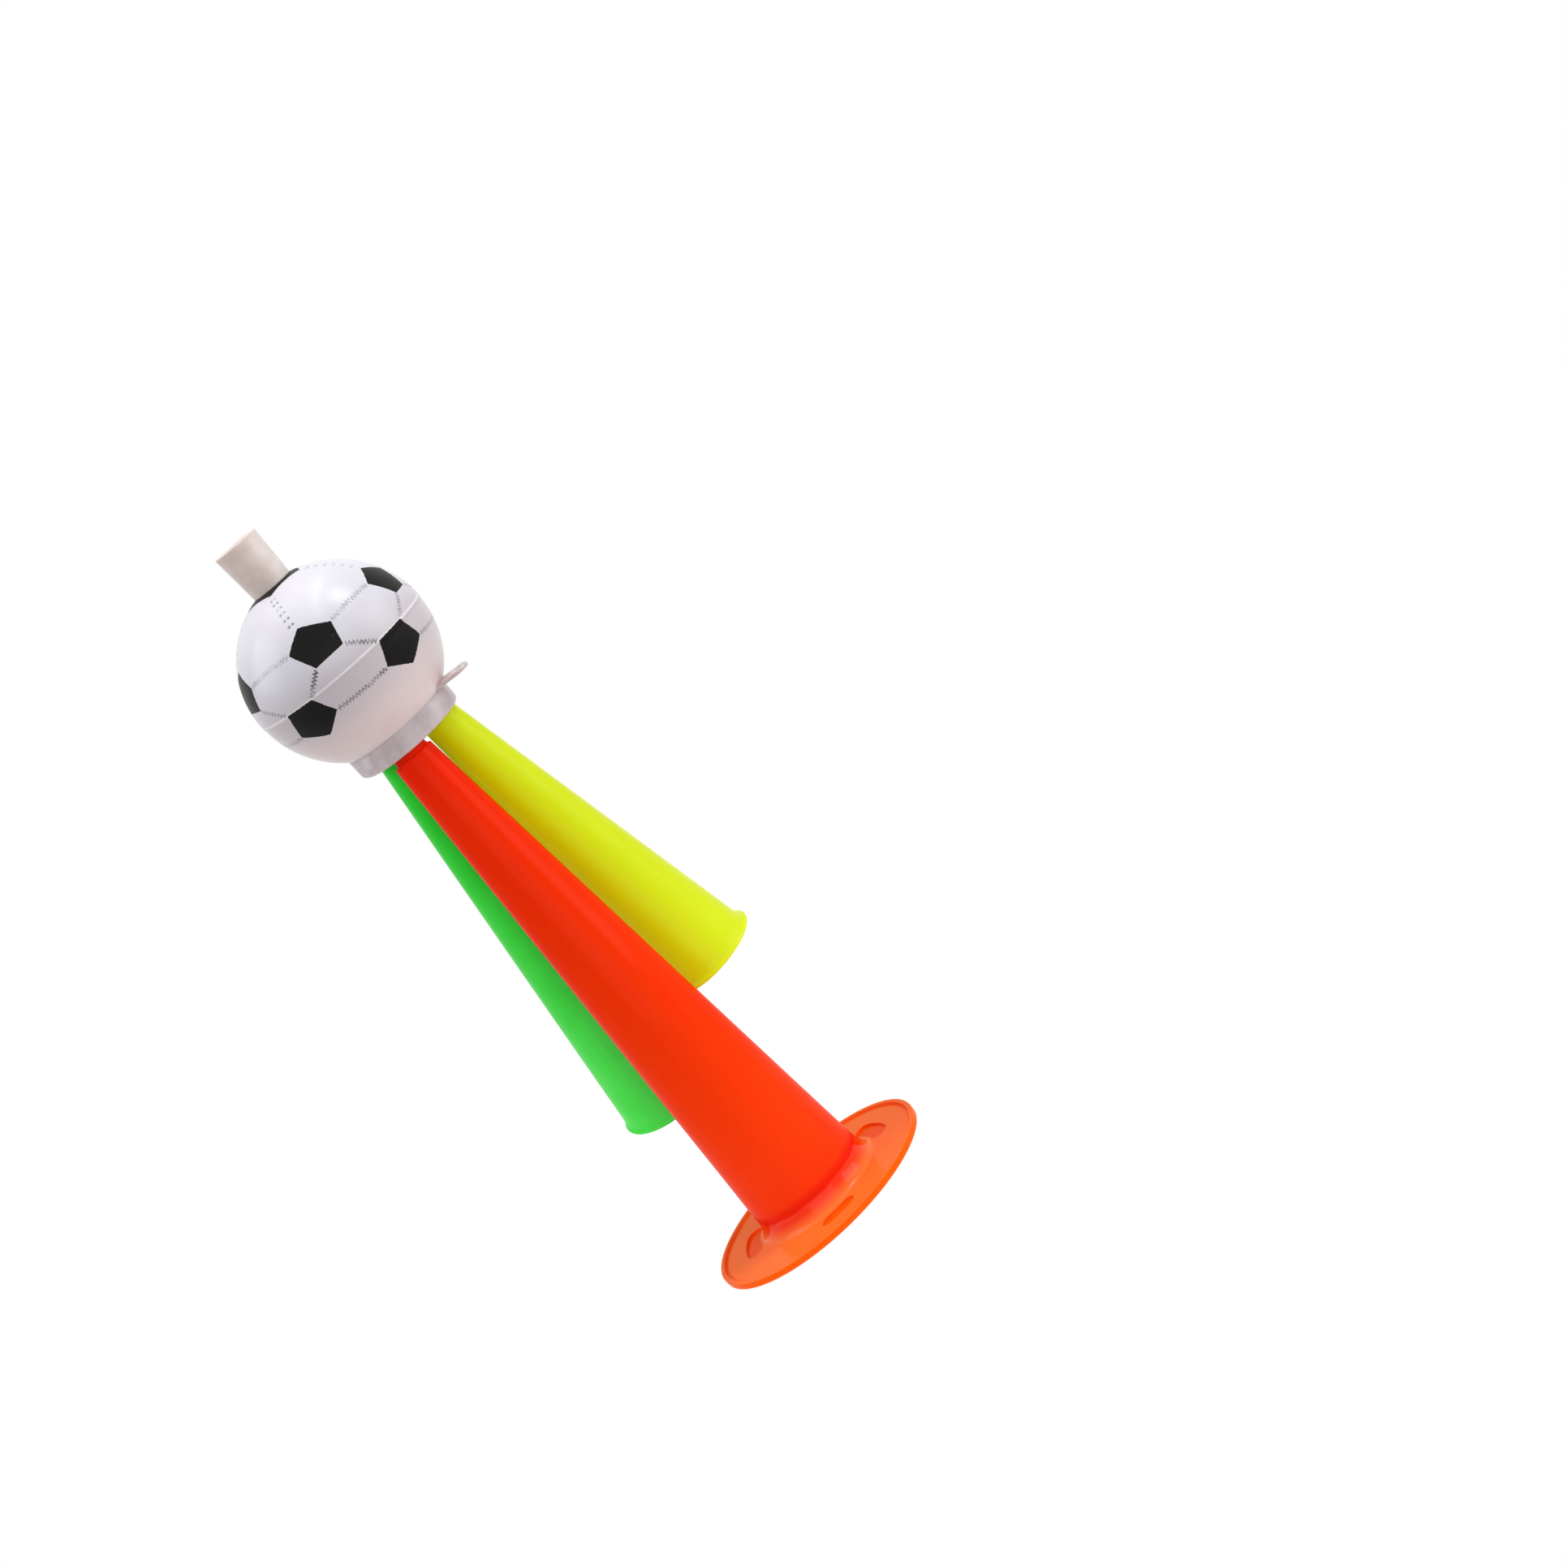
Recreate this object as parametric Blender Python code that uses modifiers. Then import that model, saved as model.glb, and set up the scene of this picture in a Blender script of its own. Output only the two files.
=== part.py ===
"""Stadium horn: a ball-shaped wind chamber with a mouthpiece, a collar with three splayed sockets,
and three push-fit trumpets of different lengths. Each trumpet has its own beating reed in the ball.

The horn stands on the flange of its main trumpet. The origin is on the ground under the middle of
the whole horn, and +Z runs up along the axis of the main trumpet. Units are metres.
"""

import math

import bmesh
import bpy
from mathutils import Euler, Matrix, Vector

# Axis of the main trumpet, measured from the origin
STAND_X = 0.0038
STAND_Y = -0.0096

# Clearance between pieces that touch or slide on each other
GAP = 0.0003

# Ball: two shells that meet a little above the middle, the lower one smaller by the step
BALL_RADIUS = 0.0397
BALL_WALL = 0.0018
SEAM_STEP = 0.0003
SEAM_RISE = 0.0012
SEAM_TONGUE_RISE = 0.0030
SEAM_TONGUE_WALL = 0.0012

# Mouthpiece: its length from the top of the ball up, and the boss in the ball from there down
MOUTH_LENGTH = 0.0201
MOUTH_PLUG_RADIUS = 0.0074
MOUTH_PLUG_WALL = 0.0018
MOUTH_SHOULDER = 0.0012
MOUTH_SPREAD = 0.0011
MOUTH_TIP_WALL = 0.0026
MOUTH_LIP_EDGE = 0.0007
MOUTH_BOSS_WALL = 0.0017
MOUTH_BOSS_DEPTH = 0.0097
MOUTH_CATCH = 0.00055

# Spigots of the trumpets, the same on all three
SPIGOT_RADIUS = 0.0075
SPIGOT_DRAFT = math.radians(1.55)
SPIGOT_WALL = 0.0016
SPIGOT_BORE_RUN = 0.0080

# Sockets: three round the collar, each leaning out. The space is half of what parts two of them.
SOCKET_WALL = 0.0011
SOCKET_SPACE = 0.0026
SOCKET_DEPTH = 0.0133
LEDGE = 0.0016
MAIN_LEAN_OUT = math.radians(5.76)
MAIN_LEAN_SIDE = math.radians(2.35)
YELLOW_LEAN = math.radians(7.0)
GREEN_LEAN = math.radians(6.4)

# Collar: its height from the edge of the ball's opening down, the opening's room round the bores
COLLAR_HEIGHT = 0.00755
COLLAR_OVERLAP = 0.0024
COLLAR_FLOOR = 0.0026
COLLAR_WALL = 0.0016
COLLAR_EDGE = 0.0022
COLLAR_RING_WALL = 0.0014
COLLAR_CATCH = 0.00065
OPENING_ROOM = 0.00082
SEAT_RISE = 0.0006

# Main trumpet, measured from the foot of the flange up to the sockets' plane
MAIN_LENGTH = 0.2456
MAIN_SHOULDER = 0.00119
MAIN_FOOT_RADIUS = 0.02645
MAIN_WALL = 0.0016
MAIN_NECK = 0.0030
THROAT_LENGTH = 0.0300
FLANGE_RADIUS = 0.05146
FLARE_WIDTH = 0.0049
FLARE_HEIGHT = 0.0078
FLARE_NECK_IN = 0.0005
FLANGE_TOP = 0.0017
RIM_RISE = 0.0011
RIM_WIDTH = 0.0021

# Sunk kidney pockets in the flange, angles from +X
POCKET_MIDDLE = math.radians(-70)
POCKET_SIDE = math.radians(104)
POCKET_ROOM = 0.0004
POCKET_WIDTH = 0.0080
POCKET_FLOOR = 0.0006
POCKET_HALF_LONG = math.radians(20.5)
POCKET_HALF_SHORT = math.radians(14)

# Short trumpets, measured from the sockets' plane down to the lip
YELLOW_LENGTH = 0.1530
YELLOW_SHOULDER = 0.00054
YELLOW_BELL_RADIUS = 0.02008
YELLOW_LIP = 0.0019
GREEN_LENGTH = 0.1947
GREEN_SHOULDER = 0.0005
GREEN_BELL_RADIUS = 0.02017
GREEN_LIP = 0.0010
SHORT_WALL = 0.0014
SHORT_NECK = 0.0014
LIP_THICKNESS = 0.0018

# Lanyard lug on the lower shell, its height from the ball's opening, its end from the ball's side
LUG_ANGLE = math.radians(-10)
LUG_RISE = 0.00275
LUG_THICKNESS = 0.0016
LUG_WIDTH = 0.0095
LUG_PAST = 0.0001
LUG_EYE_RADIUS = 0.0018

# Reeds, measured up from the sockets' plane along each socket
REED_RADIUS = 0.0042
REED_WALL = 0.0011
REED_PLUG_STEP = 0.0004
REED_FLANGE_WIDTH = 0.0020
REED_FLANGE = 0.0012
REED_TOP = 0.0330
REED_FLAT = 0.0009
RING_WALL = 0.0012
RING_HEIGHT = 0.0024
TONGUE_THICKNESS = 0.0004
TONGUE_SHORT = 0.0005
TONGUE_OPEN = math.radians(2.0)

# Facets
BIG_STEPS = 48
SHELL_STEPS = 36
TUBE_STEPS = 30
SMALL_STEPS = 18

# Derived from the values above
SEAT_ANGLES = {
    "main": math.radians(-90),
    "yellow": math.radians(30),
    "green": math.radians(150),
}
SPIGOT_TAPER = math.tan(SPIGOT_DRAFT)
BORE_RADIUS = SPIGOT_RADIUS + GAP
SOCKET_RADIUS = BORE_RADIUS + SOCKET_WALL
SOCKET_CIRCLE = (SOCKET_RADIUS + SOCKET_SPACE) * 2 / math.sqrt(3)
LEDGE_TOP = SOCKET_DEPTH + LEDGE
OPENING_RADIUS = SOCKET_CIRCLE + BORE_RADIUS + OPENING_ROOM
LOWER_BALL_RADIUS = BALL_RADIUS - SEAM_STEP
OPENING_DROP = math.sqrt(LOWER_BALL_RADIUS**2 - OPENING_RADIUS**2)
COLLAR_RADIUS = OPENING_RADIUS + COLLAR_OVERLAP
COLLAR_FOOT = OPENING_DROP + COLLAR_HEIGHT
SEAT_DROP = COLLAR_FOOT - SEAT_RISE
MOUTH_HOLE_RADIUS = MOUTH_PLUG_RADIUS + GAP
MOUTH_BOSS_FOOT = BALL_RADIUS - MOUTH_BOSS_DEPTH
REED_PLUG_RADIUS = REED_RADIUS + REED_PLUG_STEP
REED_FLANGE_FOOT = LEDGE_TOP + GAP
REED_FLANGE_TOP = REED_FLANGE_FOOT + REED_FLANGE
RING_FOOT = REED_FLANGE_TOP + GAP
RING_MIDDLE = RING_FOOT + RING_HEIGHT / 2
TONGUE_FACE = REED_FLAT + GAP
TONGUE_MIDDLE = TONGUE_FACE + TONGUE_THICKNESS / 2


def clear_scene():
    for obj in list(bpy.data.objects):
        bpy.data.objects.remove(obj, do_unlink=True)
    for mesh in list(bpy.data.meshes):
        bpy.data.meshes.remove(mesh)


def new_collection(name):
    collection = bpy.data.collections.new(name)
    bpy.context.scene.collection.children.link(collection)
    return collection


def linear(channel):
    value = channel / 255
    return value / 12.92 if value <= 0.04045 else ((value + 0.055) / 1.055) ** 2.4


def plastic(name, red, green, blue, roughness):
    """An opaque plastic. The colour is given as seen on a screen, 0 to 255."""
    material = bpy.data.materials.new(name)
    material.use_nodes = True
    shader = material.node_tree.nodes["Principled BSDF"]
    colour = (linear(red), linear(green), linear(blue), 1.0)
    shader.inputs["Base Color"].default_value = colour
    shader.inputs["Roughness"].default_value = roughness
    shader.inputs["Metallic"].default_value = 0.0
    material.diffuse_color = colour
    return material


def place(obj, collection, parent=None):
    collection.objects.link(obj)
    obj.parent = parent
    return obj


def empty_at(name, location, rotation, parent=None):
    """A guide whose axes are those of a ball, a socket or a hinge."""
    guide = bpy.data.objects.new(name, None)
    guide.empty_display_size = BALL_RADIUS / 4
    guide.hide_render = True
    guide.location = location
    guide.rotation_mode = rotation.order
    guide.rotation_euler = rotation
    return place(guide, guides, parent)


def turned(name, profile, steps, parent=None):
    """A closed profile of (radius, height) turned once round Z. It runs down the outside first."""
    mesh = bpy.data.meshes.new(name)
    corners = [(radius, 0.0, height) for radius, height in profile]
    edges = [(i, (i + 1) % len(corners)) for i in range(len(corners))]
    mesh.from_pydata(corners, edges, [])
    obj = place(bpy.data.objects.new(name, mesh), parts, parent)
    screw = obj.modifiers.new("Turn", "SCREW")
    screw.axis = "Z"
    screw.steps = steps
    screw.render_steps = steps
    screw.use_merge_vertices = True
    screw.merge_threshold = 1e-6
    screw.use_smooth_shade = True
    return obj


def as_cutter(obj):
    """Moves a body to the collection of cutters, which isn't rendered."""
    for collection in list(obj.users_collection):
        collection.objects.unlink(obj)
    cutters.objects.link(obj)
    obj.hide_render = True
    obj.display_type = "WIRE"
    return obj


def cone_body(name, low, high, low_radius, high_radius, steps, parent):
    """A round body along Z from one height to another."""
    mesh = bpy.data.meshes.new(name)
    body = bmesh.new()
    bmesh.ops.create_cone(
        body,
        cap_ends=True,
        segments=steps,
        radius1=low_radius,
        radius2=high_radius,
        depth=high - low,
        matrix=Matrix.Translation((0, 0, (low + high) / 2)),
    )
    body.to_mesh(mesh)
    body.free()
    return place(bpy.data.objects.new(name, mesh), parts, parent)


def slab(name, outline, low, high, parent=None):
    """A flat outline of (x, y) points raised from one height to another."""
    mesh = bpy.data.meshes.new(name)
    body = bmesh.new()
    face = body.faces.new([body.verts.new((x, y, low)) for x, y in outline])
    raised = bmesh.ops.extrude_face_region(body, geom=[face])["geom"]
    moved = [item for item in raised if isinstance(item, bmesh.types.BMVert)]
    bmesh.ops.translate(body, verts=moved, vec=(0, 0, high - low))
    bmesh.ops.recalc_face_normals(body, faces=body.faces)
    body.to_mesh(mesh)
    body.free()
    return place(bpy.data.objects.new(name, mesh), parts, parent)


def combine(obj, other, operation):
    boolean = obj.modifiers.new(other.name, "BOOLEAN")
    boolean.operation = operation
    boolean.object = other
    boolean.solver = "EXACT"


def finish(obj, material, sharp=35):
    """Bakes the modifiers, shades the round faces smooth and keeps the corners sharp."""
    bpy.context.view_layer.update()
    graph = bpy.context.evaluated_depsgraph_get()
    mesh = bpy.data.meshes.new_from_object(obj.evaluated_get(graph))
    obj.modifiers.clear()
    obj.data = mesh
    mesh.name = obj.name
    mesh.shade_smooth()
    mesh.set_sharp_from_angle(angle=math.radians(sharp))
    mesh.materials.clear()
    mesh.materials.append(material)


def arc(centre_x, centre_y, radius, start, end, count):
    """Points of a circle from one angle in degrees to another, both ends included."""
    points = []
    for i in range(count + 1):
        angle = math.radians(start + (end - start) * i / count)
        points.append(
            (
                centre_x + radius * math.cos(angle),
                centre_y + radius * math.sin(angle),
            )
        )
    return points


def flare(centre_x, centre_y, width, height, start, end, count):
    """The same along an ellipse of the given half width and half height."""
    points = arc(0, 0, 1, start, end, count)
    return [(centre_x + width * x, centre_y + height * y) for x, y in points]


def on_sphere(radius, height):
    return math.sqrt(radius * radius - height * height)


def sphere_run(radius, start, end, count):
    """Profile points on a sphere, spaced evenly by angle from one height to another."""
    low = math.asin(start / radius)
    high = math.asin(end / radius)
    run = []
    for i in range(count + 1):
        angle = low + (high - low) * i / count
        run.append((radius * math.cos(angle), radius * math.sin(angle)))
    return run


def upper_shell():
    inner = BALL_RADIUS - BALL_WALL
    hole = MOUTH_HOLE_RADIUS
    boss = hole + MOUTH_BOSS_WALL
    edge = on_sphere(BALL_RADIUS, SEAM_RISE) - 0.0003
    profile = [(hole, on_sphere(BALL_RADIUS, hole) - 0.0004)]
    profile += sphere_run(BALL_RADIUS, on_sphere(BALL_RADIUS, hole + 0.0004), SEAM_RISE + 0.0003, 11)
    profile += [(edge, SEAM_RISE), (on_sphere(inner, SEAM_RISE), SEAM_RISE)]
    profile += sphere_run(inner, SEAM_RISE + 0.0011, on_sphere(inner, boss + 0.0004), 8)
    profile += [
        (boss, on_sphere(inner, boss) - 0.0005),
        (boss, MOUTH_BOSS_FOOT + 0.0004),
        (boss - 0.0004, MOUTH_BOSS_FOOT),
        (hole, MOUTH_BOSS_FOOT),
    ]
    return turned("ball_upper_shell", profile, SHELL_STEPS, head)


def lower_shell():
    inner = LOWER_BALL_RADIUS - BALL_WALL
    top = SEAM_RISE + SEAM_TONGUE_RISE
    tongue = on_sphere(BALL_RADIUS - BALL_WALL, top) - GAP - 0.0001
    ledge = SEAM_RISE - GAP
    inner_foot = -on_sphere(inner, OPENING_RADIUS)
    profile = [(tongue - 0.0003, top), (tongue, top - 0.0003), (tongue, ledge)]
    profile += [(LOWER_BALL_RADIUS - 0.0003, ledge)]
    profile += sphere_run(LOWER_BALL_RADIUS, ledge - 0.0003, -OPENING_DROP, 9)
    profile += sphere_run(inner, inner_foot, ledge - 0.0050, 7)
    profile += [
        (tongue - SEAM_TONGUE_WALL, ledge - 0.0034),
        (tongue - SEAM_TONGUE_WALL, top),
    ]
    shell = turned("ball_lower_shell", profile, SHELL_STEPS, head)

    # The lug is a flat plate with a round end. Its root lies inside the wall of the ball.
    low = LUG_RISE - OPENING_DROP - LUG_THICKNESS / 2
    high = low + LUG_THICKNESS
    root = (on_sphere(LOWER_BALL_RADIUS, low) + on_sphere(inner, high)) / 2
    half = LUG_WIDTH / 2
    end = LOWER_BALL_RADIUS + LUG_PAST - half
    spread = math.degrees(math.asin(half / root))
    outline = arc(end, 0, half, -90, 90, 12) + arc(0, 0, root, spread, -spread, 6)
    turn = empty_at("lug_angle", (0, 0, 0), Euler((0, 0, LUG_ANGLE)), head)
    combine(shell, as_cutter(slab("lug_plate", outline, low, high, turn)), "UNION")
    eye = cone_body("lug_eye", low - 0.002, high + 0.002, LUG_EYE_RADIUS, LUG_EYE_RADIUS, 20, turn)
    eye.location = (end + 0.0002, 0, 0)
    combine(shell, as_cutter(eye), "DIFFERENCE")
    return shell


def mouthpiece():
    top = BALL_RADIUS + MOUTH_LENGTH
    seat = on_sphere(BALL_RADIUS, MOUTH_HOLE_RADIUS) + GAP
    catch = MOUTH_BOSS_FOOT - GAP
    lip = MOUTH_LIP_EDGE
    root_radius = MOUTH_PLUG_RADIUS + MOUTH_SHOULDER
    tip_radius = root_radius + MOUTH_SPREAD
    bore_root = MOUTH_PLUG_RADIUS - MOUTH_PLUG_WALL
    bore_tip = tip_radius - MOUTH_TIP_WALL
    profile = arc(tip_radius - lip, top - lip, lip, 90, 0, 3)
    profile += [
        (root_radius, seat - 0.0001),
        (root_radius - 0.0002, seat - 0.0002),
        (MOUTH_PLUG_RADIUS, seat + 0.0001),
        (MOUTH_PLUG_RADIUS, catch),
        (MOUTH_PLUG_RADIUS + MOUTH_CATCH, catch - 0.0005),
        (MOUTH_PLUG_RADIUS - 0.0002, catch - 0.0017),
        (bore_root, catch - 0.0017),
        (bore_root + 0.0002, seat),
        (bore_tip, top - 0.0040),
    ]
    profile += arc(bore_tip + lip, top - lip, lip, 180, 90, 3)
    return turned("mouthpiece", profile, TUBE_STEPS, head)


def collar():
    ball = LOWER_BALL_RADIUS + GAP
    inner = COLLAR_RADIUS - COLLAR_WALL
    ring = OPENING_RADIUS - GAP
    ring_inner = ring - COLLAR_RING_WALL
    catch_radius = OPENING_RADIUS + COLLAR_CATCH
    catch = -on_sphere(LOWER_BALL_RADIUS - BALL_WALL, catch_radius) + GAP
    floor_top = -COLLAR_FOOT + COLLAR_FLOOR
    trench = (floor_top - OPENING_DROP - GAP) / 2
    edge = COLLAR_RADIUS - COLLAR_EDGE
    profile = [(COLLAR_RADIUS - 0.0004, -on_sphere(ball, COLLAR_RADIUS - 0.0004))]
    profile += [(COLLAR_RADIUS, -on_sphere(ball, COLLAR_RADIUS) - 0.0004)]
    profile += arc(edge, -COLLAR_FOOT + COLLAR_EDGE, COLLAR_EDGE, 0, -90, 5)
    profile += [(0.0, -COLLAR_FOOT), (0.0, floor_top), (ring_inner, floor_top)]
    profile += [
        (ring_inner, catch + 0.0016),
        (ring - 0.0003, catch + 0.0016),
        (catch_radius - GAP, catch + 0.0007),
        (catch_radius - GAP, catch),
        (ring, catch - 0.0003),
        (ring, trench),
        (inner, trench),
        (inner, -on_sphere(ball, inner)),
    ]
    body = turned("collar", profile, SHELL_STEPS, head)
    for key, seat in seats.items():
        low = COLLAR_FLOOR / 2 - SEAT_RISE
        top_radius = SOCKET_RADIUS - SPIGOT_TAPER * LEDGE_TOP
        tube = cone_body("socket_" + key, low, LEDGE_TOP, SOCKET_RADIUS, top_radius, SMALL_STEPS, seat)
        combine(body, as_cutter(tube), "UNION")
    for key, seat in seats.items():
        low = -BORE_RADIUS
        low_radius = BORE_RADIUS - SPIGOT_TAPER * low
        high_radius = BORE_RADIUS - SPIGOT_TAPER * SOCKET_DEPTH
        bore = cone_body("bore_" + key, low, SOCKET_DEPTH, low_radius, high_radius, SMALL_STEPS, seat)
        combine(body, as_cutter(bore), "DIFFERENCE")
        hole = REED_PLUG_RADIUS + GAP
        low = SOCKET_DEPTH - LEDGE
        passage = cone_body("passage_" + key, low, LEDGE_TOP + 0.002, hole, hole, SMALL_STEPS, seat)
        combine(body, as_cutter(passage), "DIFFERENCE")
    return body


def spigot_outside(top, neck, throat, taper):
    """Outside of a spigot from its end down to the start of the cone, heights from the socket's plane."""
    tip = SPIGOT_RADIUS - SPIGOT_TAPER * top
    return [
        (tip - 0.0005, top),
        (tip, top - 0.0006),
        (SPIGOT_RADIUS, -neck),
        (throat + taper * (neck + 0.0011) - 0.0002, -neck - 0.0009),
        (throat + taper * (neck + 0.0013), -neck - 0.0013),
    ]


def kidney(middle, half_angle, inner, outer):
    """Outline of a curved slot with round ends."""
    end_radius = (outer - inner) / 2
    along = (outer + inner) / 2
    reach = math.degrees(half_angle - math.asin(end_radius / along))
    turn = math.degrees(middle)
    first = (along * math.cos(math.radians(turn + reach)), along * math.sin(math.radians(turn + reach)))
    last = (along * math.cos(math.radians(turn - reach)), along * math.sin(math.radians(turn - reach)))
    outline = arc(0, 0, outer, turn - reach, turn + reach, 8)
    outline += arc(first[0], first[1], end_radius, turn + reach, turn + reach + 180, 8)[1:-1]
    outline += arc(0, 0, inner, turn + reach, turn - reach, 8)
    outline += arc(last[0], last[1], end_radius, turn - reach + 180, turn - reach + 360, 8)[1:-1]
    return outline


def main_trumpet():
    top = SOCKET_DEPTH - GAP
    throat = SPIGOT_RADIUS + MAIN_SHOULDER
    taper = (MAIN_FOOT_RADIUS - throat) / MAIN_LENGTH
    outside = spigot_outside(top, SEAT_RISE + MAIN_NECK, throat, taper)
    profile = [(radius, height + MAIN_LENGTH) for radius, height in outside]

    # The cone ends a little above the widest draw-in of the flare, which then runs out to the plate.
    middle_height = FLANGE_TOP + FLARE_HEIGHT
    wall_radius = throat + taper * (MAIN_LENGTH - middle_height) - FLARE_NECK_IN
    middle = wall_radius + FLARE_WIDTH
    start = math.degrees(math.asin(0.45))
    profile += flare(middle, middle_height, FLARE_WIDTH, FLARE_HEIGHT, 180 - start, 270, 8)

    rim_inner = FLANGE_RADIUS - RIM_WIDTH
    rim_height = FLANGE_TOP + RIM_RISE
    profile += [
        (rim_inner - 0.0016, FLANGE_TOP),
        (rim_inner - 0.0011, FLANGE_TOP - 0.0003),
        (rim_inner - 0.0004, FLANGE_TOP - 0.0001),
        (rim_inner, rim_height - 0.0003),
        (rim_inner + 0.0005, rim_height),
        (FLANGE_RADIUS - 0.0007, rim_height),
        (FLANGE_RADIUS - 0.0001, rim_height - 0.0004),
        (FLANGE_RADIUS, 0.0005),
        (FLANGE_RADIUS - 0.0005, 0.0),
    ]
    inner_width = FLARE_WIDTH + MAIN_WALL
    profile += flare(middle, middle_height, inner_width, middle_height, 270, 184, 5)
    bore = SPIGOT_RADIUS - SPIGOT_WALL
    profile += [
        (throat + taper * THROAT_LENGTH - MAIN_WALL, MAIN_LENGTH - THROAT_LENGTH),
        (bore, MAIN_LENGTH - SPIGOT_BORE_RUN),
        (bore - 0.0003, MAIN_LENGTH + top),
    ]
    body = turned("main_trumpet", profile, BIG_STEPS, stand)
    inner = middle + POCKET_ROOM
    pockets = (
        ("front", 0.0, POCKET_HALF_SHORT),
        ("right", POCKET_SIDE, POCKET_HALF_LONG),
        ("back", math.pi, POCKET_HALF_SHORT),
        ("left", -POCKET_SIDE, POCKET_HALF_LONG),
    )
    for key, turn, half in pockets:
        outline = kidney(POCKET_MIDDLE + turn, half, inner, inner + POCKET_WIDTH)
        cutter = slab("pocket_" + key, outline, POCKET_FLOOR, FLANGE_TOP + FLARE_HEIGHT / 2, stand)
        combine(body, as_cutter(cutter), "DIFFERENCE")
    return body


def short_trumpet(name, seat, length, shoulder, end, lip):
    """A plain cone with a spigot at one end and a small rolled lip at the other."""
    top = SOCKET_DEPTH - GAP
    throat = SPIGOT_RADIUS + shoulder
    taper = (end - throat) / length
    half = LIP_THICKNESS / 2
    profile = spigot_outside(top, SEAT_RISE + SHORT_NECK, throat, taper)
    profile += [(end - taper * (LIP_THICKNESS + 0.0022), -length + LIP_THICKNESS + 0.0022)]
    profile += [(end + lip * 0.25, -length + LIP_THICKNESS + 0.0006)]
    profile += arc(end + lip - half, -length + half, half, 80, -90, 6)
    profile += [
        (end + 0.0004, -length),
        (end - SHORT_WALL + 0.0004, -length + 0.0007),
        (end - SHORT_WALL - taper * 0.0040, -length + 0.0040),
        (throat + taper * THROAT_LENGTH - SHORT_WALL, -THROAT_LENGTH),
        (SPIGOT_RADIUS - SPIGOT_WALL, -SPIGOT_BORE_RUN),
        (SPIGOT_RADIUS - SPIGOT_WALL - 0.0003, top),
    ]
    return turned(name, profile, TUBE_STEPS, seat)


def reed(key, seat):
    """Shallot, tongue and ring of one reed. The open face of the shallot looks along +X of the seat."""
    inner = REED_RADIUS - REED_WALL
    flange = REED_PLUG_RADIUS + REED_FLANGE_WIDTH
    profile = [
        (0.0, REED_TOP),
        (REED_RADIUS - 0.0010, REED_TOP),
        (REED_RADIUS, REED_TOP - 0.0010),
        (REED_RADIUS, REED_FLANGE_TOP),
        (flange, REED_FLANGE_TOP),
        (flange, REED_FLANGE_FOOT),
        (REED_PLUG_RADIUS, REED_FLANGE_FOOT),
        (REED_PLUG_RADIUS, SOCKET_DEPTH + 0.0001),
        (inner, SOCKET_DEPTH + 0.0001),
        (inner, REED_TOP - 0.0014),
        (0.0, REED_TOP - 0.0014),
    ]
    shallot = turned("reed_body_" + key, profile, SMALL_STEPS, seat)
    face = [(REED_FLAT, -flange), (flange, -flange), (flange, flange), (REED_FLAT, flange)]
    plane = slab("flat_" + key, face, REED_FLANGE_TOP + 0.0001, REED_TOP + 0.001, seat)
    combine(shallot, as_cutter(plane), "DIFFERENCE")

    # The ring's hole is round, with a flat that holds the tongue down.
    hole = REED_RADIUS + GAP
    flat = TONGUE_FACE + TONGUE_THICKNESS + GAP
    corner = math.degrees(math.acos(flat / hole))
    radius = hole + RING_WALL
    ring = cone_body(
        "reed_ring_" + key, RING_FOOT, RING_FOOT + RING_HEIGHT, radius, radius, SMALL_STEPS, seat
    )
    outline = arc(0, 0, hole, corner, 360 - corner, 18)
    opening = slab("ring_hole_" + key, outline, RING_FOOT - 0.001, RING_FOOT + RING_HEIGHT + 0.001, seat)
    combine(ring, as_cutter(opening), "DIFFERENCE")

    # The hinge of the tongue lies in the middle of the ring. At rest the tip stands open.
    hinge = empty_at("tongue_hinge_" + key, (TONGUE_MIDDLE, 0, RING_MIDDLE), Euler((0, 0, 0)), seat)
    half = TONGUE_THICKNESS / 2
    side = on_sphere(hole, flat) - GAP
    strip = [(-half, -side), (half, -side), (half, side), (-half, side)]
    low = GAP - RING_HEIGHT / 2
    tongue = slab("reed_tongue_" + key, strip, low, REED_TOP - TONGUE_SHORT - RING_MIDDLE, hinge)
    tongue.rotation_euler = (0, TONGUE_OPEN, 0)
    return shallot, tongue, ring


clear_scene()
parts = new_collection("stadium_horn")
cutters = new_collection("cutters")
cutters.hide_render = True
guides = new_collection("guides")

# The head leans so that the main socket stands square on the main trumpet.
lean_back = math.atan(math.tan(MAIN_LEAN_OUT) * math.cos(MAIN_LEAN_SIDE))
head_turn = Euler((lean_back, MAIN_LEAN_SIDE, 0), "YXZ")
main_seat = Vector((0, -SOCKET_CIRCLE, -SEAT_DROP))
ball_centre = Vector((0, 0, MAIN_LENGTH)) - head_turn.to_matrix() @ main_seat
stand = empty_at("stand", (STAND_X, STAND_Y, 0), Euler((0, 0, 0)))
head = empty_at("head", ball_centre, head_turn, stand)

main_turn = Euler((0, 0, SEAT_ANGLES["main"]))
seats = {"main": empty_at("seat_main", (0, 0, MAIN_LENGTH), main_turn, stand)}
for key, lean in (("yellow", YELLOW_LEAN), ("green", GREEN_LEAN)):
    angle = SEAT_ANGLES[key]
    spot = (SOCKET_CIRCLE * math.cos(angle), SOCKET_CIRCLE * math.sin(angle), -SEAT_DROP)
    seats[key] = empty_at("seat_" + key, spot, Euler((0, -lean, angle)), head)

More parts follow.
